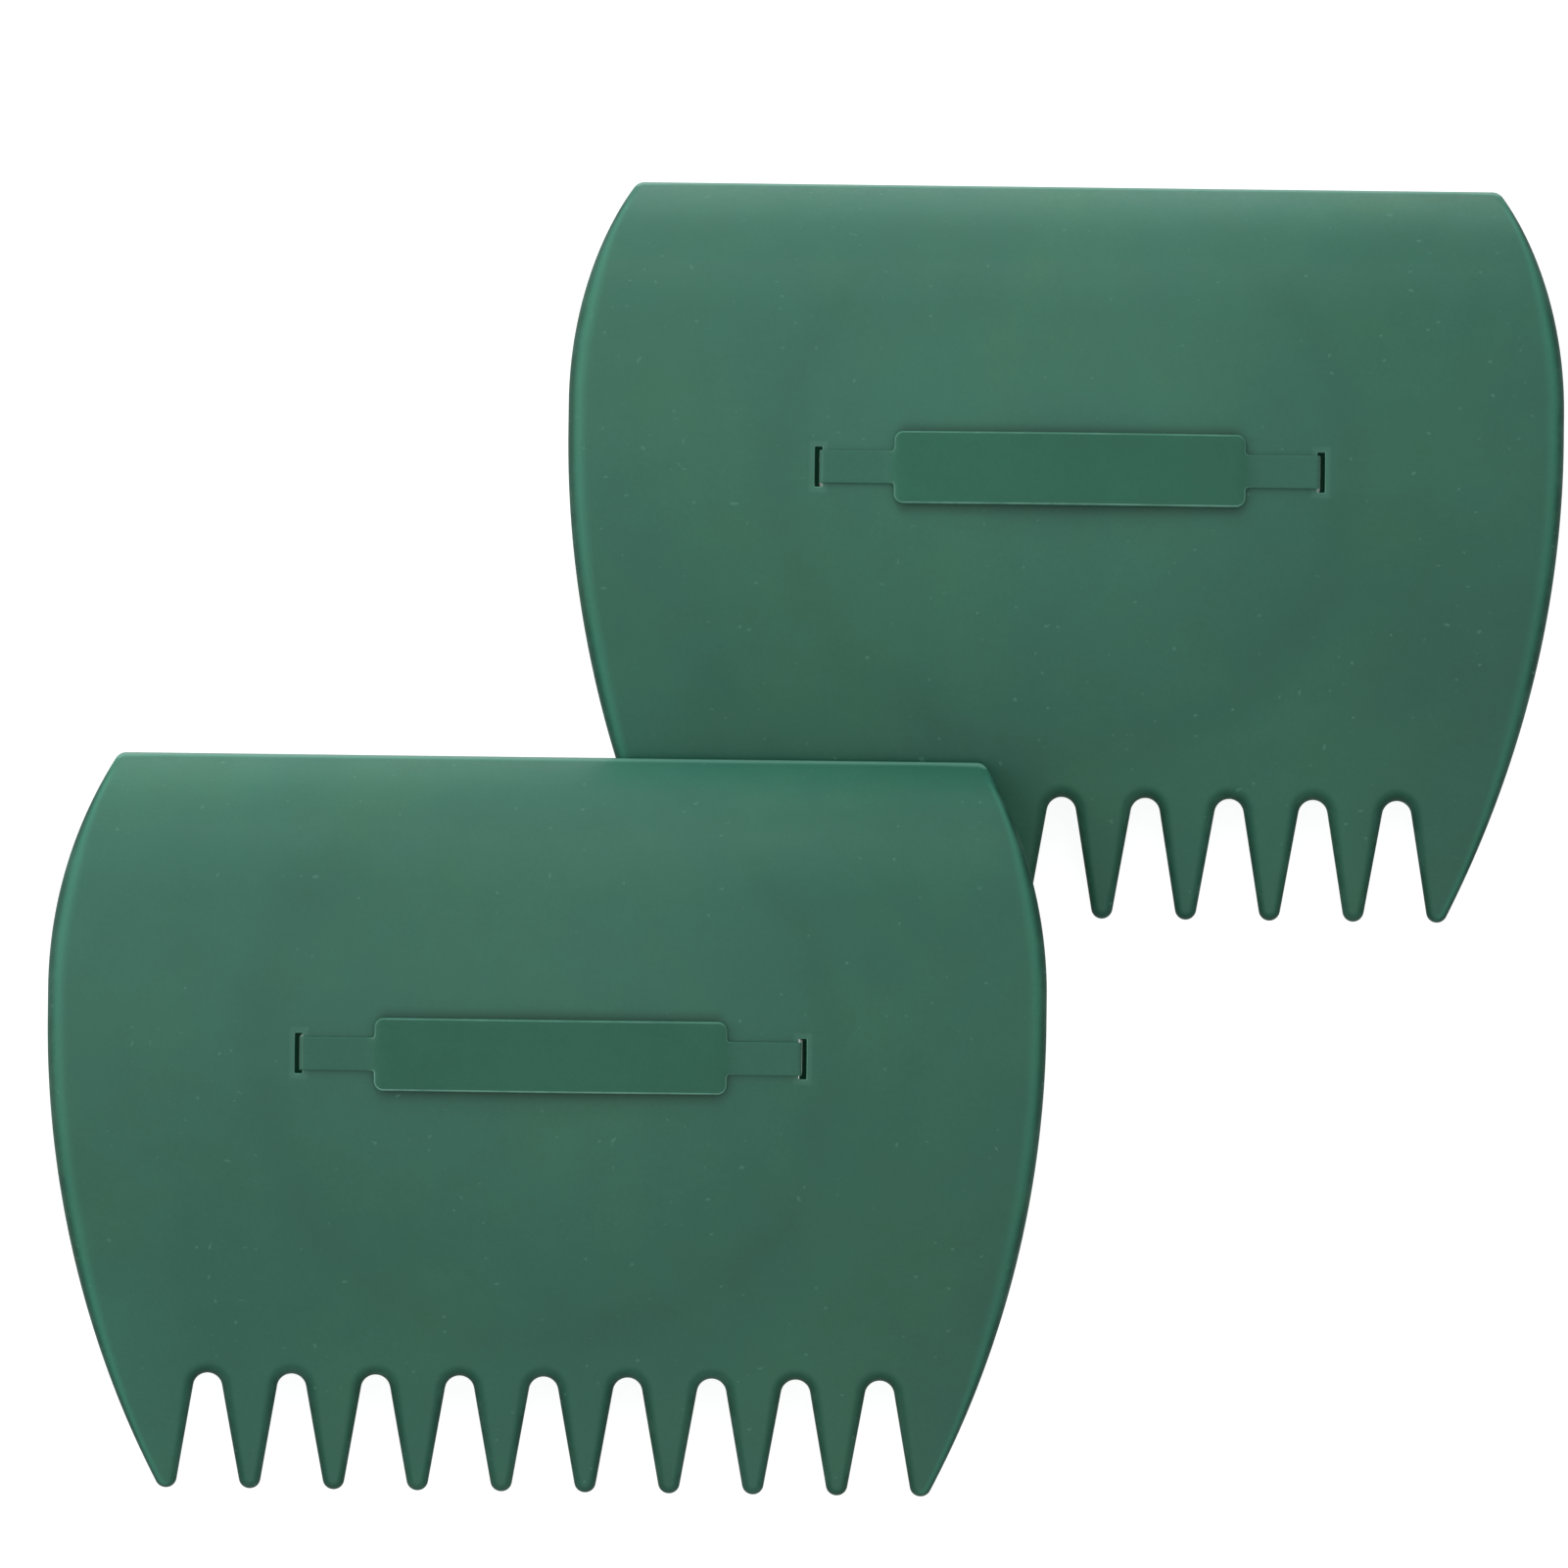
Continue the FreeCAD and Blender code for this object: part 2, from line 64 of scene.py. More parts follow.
WIDTH = (REAR_HIGH.x - REAR_LOW.x) / MM
LENGTH = (REAR_HIGH.y - REAR_LOW.y) / MM
CROWN = (REAR_HIGH.z - REAR_LOW.z) / MM
STRAP_ROW = (STRAP_LOW.y + STRAP_HIGH.y) / 2
HEEL = (REAR_HIGH.y - STRAP_ROW) / MM
TIPS = HEEL - LENGTH


def front_lean():
    """The front scoop's lean, in radians: its strap's slide axis is square to its panel."""
    axis = next(joint["axis"] for joint in frame["joints"] if joint["name"] == "front_strap_pull")
    return math.atan2(-axis[1], axis[2])


def scoop_matrices():
    """Where each scoop's own frame stands. The front scoop leans, with its tips on the floor."""
    rear_x = (REAR_LOW.x + REAR_HIGH.x) / 2
    front_x = (FRONT_LOW.x + FRONT_HIGH.x) / 2
    rear = Matrix.Translation((rear_x, STRAP_ROW, 0.0))
    lean = Matrix.Rotation(front_lean(), 4, "X")
    tips = lean @ Vector((0.0, TIPS * MM, 0.0))
    front = Matrix.Translation((front_x, -REAR_HIGH.y - tips.y, -tips.z)) @ lean
    return {"rear": rear, "front": front}


# ---------------------------------------------------------------- side section

WALL = 2.0
RIM_DEPTH = 8.0
TIP_HEIGHT = 4.5
HEEL_LIP = 4.0
ROLL_START = 57.0

PANEL_DROP = CROWN - TIP_HEIGHT
PANEL_RADIUS = TIPS ** 2 / (2 * PANEL_DROP) + PANEL_DROP / 2
PANEL_CENTRE_Z = CROWN - PANEL_RADIUS
JOIN_TURN = math.asin(ROLL_START / PANEL_RADIUS)
JOIN_Z = PANEL_CENTRE_Z + PANEL_RADIUS * math.cos(JOIN_TURN)
END_TURN = 2 * math.atan2(JOIN_Z - HEEL_LIP, HEEL - ROLL_START) - JOIN_TURN
ROLL_RADIUS = (HEEL - ROLL_START) / (math.sin(END_TURN) - math.sin(JOIN_TURN))
ROLL_CENTRE_Y = ROLL_START - ROLL_RADIUS * math.sin(JOIN_TURN)
ROLL_CENTRE_Z = JOIN_Z - ROLL_RADIUS * math.cos(JOIN_TURN)


def face_height(y, inset=0.0):
    """Height of the shell's outer face, or of a face that lies inset below it."""
    y = np.asarray(y, float)
    panel = PANEL_CENTRE_Z + np.sqrt((PANEL_RADIUS - inset) ** 2 - y ** 2)
    reach = np.clip((ROLL_RADIUS - inset) ** 2 - (y - ROLL_CENTRE_Y) ** 2, 0.0, None)
    roll = ROLL_CENTRE_Z + np.sqrt(reach)
    return np.where(y > ROLL_START * (1 - inset / PANEL_RADIUS), roll, panel)


def rim_height(y):
    """Height of the rim's cut edge: even along the roll, thinning out to the tips."""
    y = np.asarray(y, float)
    reach = PANEL_RADIUS - RIM_DEPTH
    join = (reach * math.sin(JOIN_TURN), PANEL_CENTRE_Z + reach * math.cos(JOIN_TURN))
    run = (TIPS - join[0], -join[1])
    across = math.sin(JOIN_TURN) * run[0] + math.cos(JOIN_TURN) * run[1]
    radius = -(run[0] ** 2 + run[1] ** 2) / (2 * across)
    centre = (join[0] - radius * math.sin(JOIN_TURN), join[1] - radius * math.cos(JOIN_TURN))
    panel = centre[1] + np.sqrt(radius ** 2 - (y - centre[0]) ** 2)
    roll_reach = np.clip((ROLL_RADIUS - RIM_DEPTH) ** 2 - (y - ROLL_CENTRE_Y) ** 2, 0.0, None)
    roll = ROLL_CENTRE_Z + np.sqrt(roll_reach)
    return np.maximum(np.where(y > join[0], roll, panel), 0.0)


def smooth_step(low, high, value):
    """0 below low, 1 above high, and a smooth rise between."""
    part = np.clip((np.asarray(value, float) - low) / (high - low), 0.0, 1.0)
    return part * part * (3 - 2 * part)


# ---------------------------------------------------------------- toothed outline

HALF_WIDTH = WIDTH / 2
SIDE_LOW, SIDE_HIGH = 12.2, 22.8
SHOULDER_RADIUS = 159.0
CORNER_RADIUS = 4.4
PITCH = 30.35
TIP_RADIUS = 3.9
GAP_TOP = -116.9
GAP_RADIUS = 5.3
GAP_COUNT = 9

SAME_POINT = 1e-6


def arc_run(centre, radius, start, end, steps, inward):
    """Points on an arc, each with its normal into the material. Angles in radians."""
    rows = []
    for turn in np.linspace(start, end, steps + 1):
        out_x, out_y = math.cos(turn), math.sin(turn)
        point = (centre[0] + radius * out_x, centre[1] + radius * out_y)
        rows.append(point + (inward * out_x, inward * out_y))
    return rows


def line_run(start, end, steps):
    """Points along a line, each with the normal to the left of its direction."""
    run = (end[0] - start[0], end[1] - start[1])
    length = math.hypot(*run)
    normal = (-run[1] / length, run[0] / length)
    parts = np.linspace(0, 1, steps + 1)
    return [(start[0] + run[0] * part, start[1] + run[1] * part) + normal for part in parts]


def same_point(first, second):
    return math.hypot(first[0] - second[0], first[1] - second[1]) < SAME_POINT


def joined(*runs):
    """Runs joined into one closed loop without repeated points."""
    loop = []
    for run in runs:
        for point in run:
            if not loop or not same_point(point, loop[-1]):
                loop.append(point)
    if same_point(loop[0], loop[-1]):
        loop.pop()
    return np.array(loop)


def flipped(run):
    """The same run mirrored to the other side of the scoop, in the opposite order."""
    return [(-x, y, -nx, ny) for x, y, nx, ny in reversed(run)]


def scoop_outline():
    """The scoop's outline in plan, anticlockwise seen from above."""
    tip_x, tip_y = PITCH * GAP_COUNT / 2, TIPS + TIP_RADIUS
    shoulder = (HALF_WIDTH - SHOULDER_RADIUS, SIDE_HIGH)
    corner_y = HEEL - CORNER_RADIUS
    rise = corner_y - SIDE_HIGH
    corner = (shoulder[0] + math.sqrt((SHOULDER_RADIUS - CORNER_RADIUS) ** 2 - rise ** 2), corner_y)
    corner_turn = math.atan2(rise, corner[0] - shoulder[0])
    inward, fall = HALF_WIDTH - tip_x, SIDE_LOW - tip_y
    flank_radius = (inward ** 2 + fall ** 2 - TIP_RADIUS ** 2) / (2 * (inward - TIP_RADIUS))
    flank = (HALF_WIDTH - flank_radius, SIDE_LOW)
    flank_turn = math.atan2(tip_y - SIDE_LOW, tip_x - flank[0])

    right = arc_run((tip_x, tip_y), TIP_RADIUS, -math.pi / 2, flank_turn, 8, -1)
    right += arc_run(flank, flank_radius, flank_turn, 0, 56, -1)
    right += line_run((HALF_WIDTH, SIDE_LOW), (HALF_WIDTH, SIDE_HIGH), 3)
    right += arc_run(shoulder, SHOULDER_RADIUS, 0, corner_turn, 34, -1)
    right += arc_run(corner, CORNER_RADIUS, corner_turn, math.pi / 2, 10, -1)
    heel = line_run((corner[0], HEEL), (-corner[0], HEEL), 80)

    drop = GAP_TOP - GAP_RADIUS - tip_y
    between = math.hypot(PITCH / 2, drop)
    lean = math.atan2(PITCH / 2, drop) - math.asin((GAP_RADIUS + TIP_RADIUS) / between)
    teeth = []
    for gap in range(GAP_COUNT):
        middle = (gap - (GAP_COUNT - 1) / 2) * PITCH
        root = (middle, GAP_TOP - GAP_RADIUS)
        left, next_tip = (middle - PITCH / 2, tip_y), (middle + PITCH / 2, tip_y)
        teeth += arc_run(left, TIP_RADIUS, -math.pi / 2, -lean, 7, -1)
        arch = arc_run(root, GAP_RADIUS, math.pi - lean, lean, 16, 1)
        teeth += line_run(teeth[-1][:2], arch[0][:2], 9)[1:-1]
        teeth += arch
        far_tip = arc_run(next_tip, TIP_RADIUS, math.pi + lean, 1.5 * math.pi, 7, -1)
        teeth += line_run(arch[-1][:2], far_tip[0][:2], 9)[1:-1]
        teeth += far_tip
    return joined(teeth, right, heel, flipped(right))


def slot_outline(middle_x, half_x, half_y, radius):
    """A slot's outline, clockwise, with normals into the material around it."""
    runs = []
    for corner, (side_x, side_y) in enumerate(((1, 1), (1, -1), (-1, -1), (-1, 1))):
        start = (1 - corner) * math.pi / 2
        centre = (middle_x + side_x * (half_x - radius), side_y * (half_y - radius))
        runs.append(arc_run(centre, radius, start, start - math.pi / 2, 4, 1))
    sides = []
    for run, following in zip(runs, runs[1:] + runs[:1]):
        straight = line_run(run[-1][:2], following[0][:2], 6)[1:-1]
        sides += [run, [row[:2] + run[-1][2:] for row in straight]]
    return joined(*sides)


# ---------------------------------------------------------------- moulded plates

# Faces that turn less than FLAT_TURN are joined, where their corners are within SQUARE_TURN
# of square. Edges that turn more than SHARP_TURN are shaded sharp.
FLAT_TURN = math.radians(12)
SQUARE_TURN = math.radians(40)
SHARP_TURN = math.radians(38)
TINY = 1e-12


def inside(points, loop):
    """Which points lie inside a closed loop."""
    x, y = points[:, 0], points[:, 1]
    result = np.zeros(len(points), bool)
    for start, end in zip(loop, np.roll(loop, -1, axis=0)):
        crosses = (start[1] > y) != (end[1] > y)
        span = end[1] - start[1] if end[1] != start[1] else TINY
        result ^= crosses & (x < (end[0] - start[0]) * (y - start[1]) / span + start[0])
    return result


def distance_to(points, loop):
    """Distance from each point to the nearest corner or side of a loop."""
    nearest = np.full(len(points), np.inf)
    for start, end in zip(loop, np.roll(loop, -1, axis=0)):
        run = end - start
        part = np.clip(((points - start) @ run) / max(run @ run, TINY), 0, 1)
        nearest = np.minimum(nearest, np.linalg.norm(points - (start + part[:, None] * run), axis=1))
    return nearest


def on_plate(points, loops):
    """Which points lie inside the first loop and outside the others."""
    found = inside(points, loops[0])
    for hole in loops[1:]:
        found &= ~inside(points, hole)
    return found


def plate_triangles(loops, grid):
    """A plate's plan cut into triangles. Corners count through the loops, then the grid."""
    plan = np.vstack(loops + [grid])
    edges, first = [], 0
    for loop in loops:
        count = len(loop)
        edges += [(first + index, first + (index + 1) % count) for index in range(count)]
        first += count
    result = delaunay_2d_cdt([Vector(point) for point in plan], edges, [], 1, 1e-7)
    sources = [source[0] for source in result[3]]
    triangles = [[sources[corner] for corner in face] for face in result[2]]
    centres = np.array([plan[face].mean(axis=0) for face in triangles])
    return [face for face, wanted in zip(triangles, on_plate(centres, loops)) if wanted]


def plate_mesh(name, rims, grid, top, bottom, to_space, clearance):
    """A closed plate. Each rim is a list of rings, from the top face round the edge to the
    bottom face, each ring an array of X, Y and height. The first rim is the outside and the
    others are holes. top and bottom give the two faces' heights over the plan. The mesh's
    edge attribute is 0 on the faces and rises to 1 half-way round each rim."""
    loops = [rim[0][:, :2] for rim in rims]
    keep = on_plate(grid, loops)
    for loop in loops:
        keep &= distance_to(grid, loop) > clearance
    grid = grid[keep]
    triangles = plate_triangles(loops, grid)

    points, faces, edge, top_index, bottom_index = [], [], [], [], []
    for rim in rims:
        count = len(rim[0])
        starts = []
        for order, ring in enumerate(rim):
            starts.append(len(points))
            points += ring.tolist()
            edge += [math.sin(math.pi * order / (len(rim) - 1))] * count
        for upper, lower in zip(starts[:-1], starts[1:]):
            for index in range(count):
                after = (index + 1) % count
                faces.append((upper + index, lower + index, lower + after, upper + after))
        top_index += range(starts[0], starts[0] + count)
        bottom_index += range(starts[-1], starts[-1] + count)
    rim_faces = len(faces)
    for target, height in ((top_index, top), (bottom_index, bottom)):
        heights = height(grid[:, 0], grid[:, 1])
        target += range(len(points), len(points) + len(grid))
        points += np.column_stack([grid, heights]).tolist()
        edge += [0.0] * len(grid)
    faces += [[top_index[corner] for corner in face] for face in triangles]
    faces += [[bottom_index[corner] for corner in reversed(face)] for face in triangles]

    mesh = bpy.data.meshes.new(name)
    mesh.from_pydata(to_space(np.array(points)).tolist(), [], faces)
    work = bmesh.new()
    work.from_mesh(mesh)
    work.faces.ensure_lookup_table()
    bmesh.ops.join_triangles(
        work, faces=work.faces[rim_faces:], angle_face_threshold=FLAT_TURN,
        angle_shape_threshold=SQUARE_TURN, cmp_seam=False, cmp_sharp=False,
        cmp_uvs=False, cmp_vcols=False, cmp_materials=False)
    work.to_mesh(mesh)
    work.free()
    stored = mesh.attributes.new("edge", "FLOAT", "POINT")
    stored.data.foreach_set("value", np.array(edge, np.float32))
    mesh.shade_smooth()
    mesh.set_sharp_from_angle(angle=SHARP_TURN)
    return mesh


# ---------------------------------------------------------------- scoop shell

STRAP_CENTRE = (STRAP_LOW.x + STRAP_HIGH.x - REAR_LOW.x - REAR_HIGH.x) / 2 / MM
SLOT_REACH = 90.8
SLOT_HALF = (1.4, 7.3)
SLOT_CORNER = 0.35
SLOT_LIP = ((0.45, 0.0), (0.2, 0.05), (0.05, 0.2), (0.0, 0.45))
RING_RADIUS, RING_WIDTH, RING_DEPTH = 103.0, 10.0, 0.22
RING_ENDS = (30, 60)
SHELL_STEP, ROLL_STEP = 4.5, 2.6
SHELL_CLEARANCE = 1.3

# The shoulder's width and fall at the tips, beside the strap and at the heel.
SHOULDER_WIDTH, SHOULDER_FALL = (3.3, 7.7, 3.2), (1.6, 4.0, 1.4)
CUT_ROUND = 0.5
RIM_INSET = 2.0

# The foot grows over the HEEL_NEAR rows, to FOOT_DEPTH. Along the straight heel, whose ends
# lie FOOT_INSET in from the widest row, it grows by FOOT_WIDENS more, over FOOT_FADE.
HEEL_NEAR = (88, 101)
FOOT_DEPTH, FOOT_WIDENS = 2.0, 2.8
FOOT_INSET, FOOT_FADE = 26.2, 14.0
FOOT_ROUND = 0.3


def relief(x, y):
    """A faint ring pressed into the panel round the strap, left by the mould."""
    from_ring = np.hypot(x - STRAP_CENTRE, y) - RING_RADIUS
    return -RING_DEPTH * np.exp(-(from_ring / RING_WIDTH) ** 2) * (1 - smooth_step(*RING_ENDS, y))


def outer_face(x, y):
    return face_height(y) + relief(x, y)


def inner_face(x, y):
    return face_height(y, WALL) + relief(x, y)


def along_side(y, sizes, low_rows, high_rows):
    """A size that changes from the tips to beside the strap, and from there to the heel."""
    at_tips, middle, at_heel = sizes
    rise = (middle - at_tips) * smooth_step(*low_rows, y)
    return at_tips + rise + (at_heel - middle) * smooth_step(*high_rows, y)


def shell_rim(outline):
    """The rings round the shell's edge: a soft shoulder, an upright rim, its cut edge,
    and the inside of the rim. At the heel the cut edge turns in as a flat foot."""
    x, y, nx, ny = outline.T
    near_heel = smooth_step(*HEEL_NEAR, y)
    to_foot_end = np.abs(x).max() - FOOT_INSET - np.abs(x)
    along_heel = np.where(y > HEEL - SAME_POINT, smooth_step(0, FOOT_FADE, to_foot_end), 0.0)
    shoulder = along_side(y, SHOULDER_WIDTH, (-157, -60), (52, 100)) - 0.7 * along_heel
    fall = along_side(y, SHOULDER_FALL, (-150, -60), (60, 100))
    inner_fall = np.maximum(fall - 0.9, 0.5)
    inset = RIM_INSET + 0.2 * near_heel
    foot = inset + FOOT_DEPTH * near_heel + FOOT_WIDENS * along_heel

    def ring(depth, height):
        """depth: how far in from the outline. height: of plan X and Y, in millimetres."""
        ring_x, ring_y = x + nx * depth, y + ny * depth
        return np.column_stack([ring_x, ring_y, height(ring_x, ring_y)])

    rings = []
    for part in np.linspace(0, 1, 8):
        depth = (1 - part) ** 2 * shoulder + 2 * part * (1 - part) * 0.16 * shoulder
        rings.append(ring(depth, lambda px, py, part=part: outer_face(px, py) - part ** 2 * fall))
    cut = ((0.0, CUT_ROUND), (0.15, 0.15), (CUT_ROUND, 0.0), (foot - FOOT_ROUND, 0.0), (foot, FOOT_ROUND))
    for depth, lift in cut:
        rings.append(ring(depth, lambda px, py, lift=lift: rim_height(py) + lift))
    for depth, share, foot_top in ((foot, 0.35, 2.0), (inset, 0.7, 2.15)):
        def height(px, py, share=share, foot_top=foot_top):
            low = rim_height(py) + FOOT_ROUND
            wall_point = low + (inner_face(px, py) - inner_fall - low) * share
            return wall_point * (1 - near_heel) + foot_top * near_heel

        rings.append(ring(depth, height))
    for part in np.linspace(0, 1, 6):
        left = 1 - part
        depth = left ** 2 * inset + 2 * part * left * (inset + 0.2) + part ** 2 * shoulder
        rings.append(ring(depth, lambda px, py, left=left: inner_face(px, py) - left ** 2 * inner_fall))
    return rings


def slot_rim(outline):
    """The rings through a strap slot, with its edges slightly rounded."""
    x, y, nx, ny = outline.T
    rings = []
    for face, sign, lip in ((outer_face, -1.0, SLOT_LIP), (inner_face, 1.0, SLOT_LIP[::-1])):
        for depth, fall in lip:
            ring_x, ring_y = x + nx * depth, y + ny * depth
            rings.append(np.column_stack([ring_x, ring_y, face(ring_x, ring_y) + sign * fall]))
    return rings


def shell_grid():
    """Plan points for the shell's faces: closer where the panel rolls over."""
    columns = np.arange(-HALF_WIDTH, HALF_WIDTH, SHELL_STEP)
    rows = np.concatenate([
        np.arange(TIPS, ROLL_START, SHELL_STEP), np.arange(ROLL_START, HEEL, ROLL_STEP)])
    return np.array([(column, row) for row in rows for column in columns])


def shell_piece(name, place):
    outline = scoop_outline()
    slots = [
        slot_outline(STRAP_CENTRE + side * SLOT_REACH, SLOT_HALF[0], SLOT_HALF[1], SLOT_CORNER)
        for side in (-1, 1)]
    rims = [shell_rim(outline)] + [slot_rim(slot) for slot in slots]

    def to_space(points):
        return place_points(points, place)

    mesh = plate_mesh(name, rims, shell_grid(), outer_face, inner_face, to_space, SHELL_CLEARANCE)
    return new_piece(name, mesh, place)


# ---------------------------------------------------------------- hand strap

GRIP_HALF = (63.65, 13.25)
GRIP_CORNER = 3.5
GRIP_THICKNESS = 2.2
GRIP_RISE = 1.5
GRIP_THINS = (61.5, 66.0)
ARM_HALF = 6.0
ARM_THICKNESS = 1.0
ARM_GAP = 0.1
GRIP_GAP = 0.3
STRAP_TRAVEL = 28.0
STOP_HALF = 10.0
STOP_HEIGHT = 3.0
STOP_OUTWARD = 5.0
STOP_INWARD = 0.6
LEG_REACH = 90.0
BEND_RADIUS = 1.3
BEND_START = LEG_REACH - BEND_RADIUS
BEND_LENGTH = BEND_RADIUS * math.pi / 2
ARM_MIDDLE = ARM_GAP + ARM_THICKNESS / 2
LEG_LENGTH = WALL + GRIP_GAP + STRAP_TRAVEL + STOP_HEIGHT + ARM_MIDDLE - BEND_RADIUS
STRAP_END = BEND_START + BEND_LENGTH + LEG_LENGTH
STOP_START = STRAP_END - STOP_HEIGHT
ARM_FILLET = 1.0
STOP_FILLET = 0.4
STOP_CORNER = 0.6
FACE_ROUND = 1.0
LEG_ROUND = 0.5
STRAP_STEP = 2.6
STRAP_CLEARANCE = 0.7


def strap_thickness(along):
    """Thickness of the grip, arms and legs, without the feet."""
    return GRIP_THICKNESS + (ARM_THICKNESS - GRIP_THICKNESS) * smooth_step(*GRIP_THINS, np.abs(along))


def strap_face(along, foot):
    """How far a face lies from the strap's middle, where its foot has it at foot."""
    half = strap_thickness(along) / 2
    return half + (foot - half) * smooth_step(STOP_START - 0.2, STOP_START + 0.3, np.abs(along))


def strap_outline():
    """The strap laid out flat, anticlockwise: grip, arms, legs and stop feet."""
    grip_x, grip_y = GRIP_HALF
    corner = (grip_x - GRIP_CORNER, grip_y - GRIP_CORNER)
    fillet = (grip_x + ARM_FILLET, ARM_HALF + ARM_FILLET)
    stop_fillet = (STOP_START - STOP_FILLET, ARM_HALF + STOP_FILLET)
    stop_low = (STOP_START + STOP_CORNER, STOP_HALF - STOP_CORNER)
    stop_end = (STRAP_END - STOP_CORNER, STOP_HALF - STOP_CORNER)
    bend = np.arange(BEND_START - 0.5, BEND_START + BEND_LENGTH + 0.6, 0.25)
    arm_run = np.concatenate([
        np.arange(fillet[0] + 2, BEND_START - 1, 2.5), bend,
        np.arange(bend[-1] + 2, STOP_START - 1, 2.5)])
    quarter = line_run((corner[0], grip_y), (0, grip_y), 24)[::-1]
    quarter += arc_run(corner, GRIP_CORNER, math.pi / 2, 0, 10, -1)
    quarter += line_run((grip_x, fillet[1]), (grip_x, corner[1]), 3)[::-1]
    quarter += arc_run(fillet, ARM_FILLET, math.pi, 1.5 * math.pi, 5, 1)
    quarter += [(along, ARM_HALF, 0.0, -1.0) for along in arm_run]
    quarter += arc_run(stop_fillet, STOP_FILLET, 1.5 * math.pi, 2 * math.pi, 4, 1)
    quarter += arc_run(stop_low, STOP_CORNER, math.pi, math.pi / 2, 4, -1)
    quarter += arc_run(stop_end, STOP_CORNER, math.pi / 2, 0, 4, -1)
    quarter += line_run((STRAP_END, 0), (STRAP_END, stop_end[1]), 6)[::-1]

    def side(sign_x, sign_y):
        return [(sign_x * u, sign_y * v, sign_x * nu, sign_y * nv) for u, v, nu, nv in quarter]

    return joined(side(1, -1), side(1, 1)[::-1], side(-1, 1), side(-1, -1)[::-1])


def strap_rim(outline):
    """The rings round the strap's edge, rounded on both faces."""
    u, v, nu, nv = outline.T
    rings = []
    turns = np.linspace(0, math.pi / 2, 6)
    most = np.where(np.abs(u) < BEND_START, FACE_ROUND, LEG_ROUND)
    radius = np.minimum(0.42 * strap_thickness(u), most)
    for sign, foot, ordered in ((1, STOP_OUTWARD, turns), (-1, STOP_INWARD, turns[::-1])):
        for turn in ordered:
            depth = radius * (1 - math.sin(turn))
            ring_u, ring_v = u + nu * depth, v + nv * depth
            height = sign * (strap_face(ring_u, foot) - radius * (1 - math.cos(turn)))
            rings.append(np.column_stack([ring_u, ring_v, height]))
    return rings


def strap_to_local(points):
    """Fold the flat strap: bow the grip, and bend the legs down through the slots."""
    u, v, w = points.T
    along, side = np.abs(u), np.sign(u)
    flat = np.minimum(along, BEND_START)
    bow = GRIP_RISE * 0.5 * (1 + np.cos(np.pi * np.clip(along / GRIP_HALF[0], 0, 1)))
    gap = GRIP_GAP + (ARM_GAP - GRIP_GAP) * smooth_step(GRIP_HALF[0] - 2, GRIP_HALF[0] + 4, along)
    middle = gap + strap_thickness(flat) / 2 + bow
    turn = np.clip((along - BEND_START) / BEND_RADIUS, 0, math.pi / 2)
    leg = np.clip(along - BEND_START - BEND_LENGTH, 0, None)
    bent = along > BEND_START
    x = flat + np.where(bent, (BEND_RADIUS + w) * np.sin(turn), 0.0)
    z = middle + np.where(bent, (BEND_RADIUS + w) * np.cos(turn) - BEND_RADIUS - leg, w)
    return np.column_stack([STRAP_CENTRE + side * x, v, CROWN + z])


def strap_grid():
    """Points on the flat strap's faces, close together along the two bends."""
    half = np.concatenate([
        np.arange(STRAP_STEP / 2, GRIP_HALF[0] + 4, STRAP_STEP),
        np.arange(GRIP_HALF[0] + 6, BEND_START - 1, STRAP_STEP),
        np.arange(BEND_START - 0.25, BEND_START + BEND_LENGTH + 0.4, 0.5),
        np.arange(BEND_START + BEND_LENGTH + 2.5, STOP_START - 0.6, STRAP_STEP),
        [STOP_START - 0.2, STOP_START + 0.3, STOP_START + 1.6]])
    columns = np.concatenate([-half[::-1], half])
    rows = np.arange(-12.0, 12.1, 2.0)
    return np.array([(column, row) for row in rows for column in columns])


def strap_piece(name, place):
    def over(u, v):
        return strap_face(u, STOP_OUTWARD)

    def under(u, v):
        return -strap_face(u, STOP_INWARD)

    def to_space(points):
        return place_points(strap_to_local(points), place)

    rims = [strap_rim(strap_outline())]
    mesh = plate_mesh(name, rims, strap_grid(), over, under, to_space, STRAP_CLEARANCE)
    return new_piece(name, mesh, place)


# ---------------------------------------------------------------- pieces

def place_points(points, place):
    """Scoop points in millimetres to points of the whole object in metres."""
    turn = np.array(place.to_3x3())
    return (points * MM) @ turn.T + np.array(place.translation)


def new_piece(name, mesh, place):
    """An object for a mesh, with each point's place in its scoop's own frame stored."""
    piece = bpy.data.objects.new(name, mesh)
    bpy.context.scene.collection.objects.link(piece)
    world = np.zeros(len(mesh.vertices) * 3)
    mesh.vertices.foreach_get("co", world)
    turn = np.array(place.to_3x3())
    local = (world.reshape(-1, 3) - np.array(place.translation)) @ turn
    stored = mesh.attributes.new("local", "FLOAT_VECTOR", "POINT")
    stored.data.foreach_set("vector", local.astype(np.float32).ravel())
    return piece


# ---------------------------------------------------------------- materials

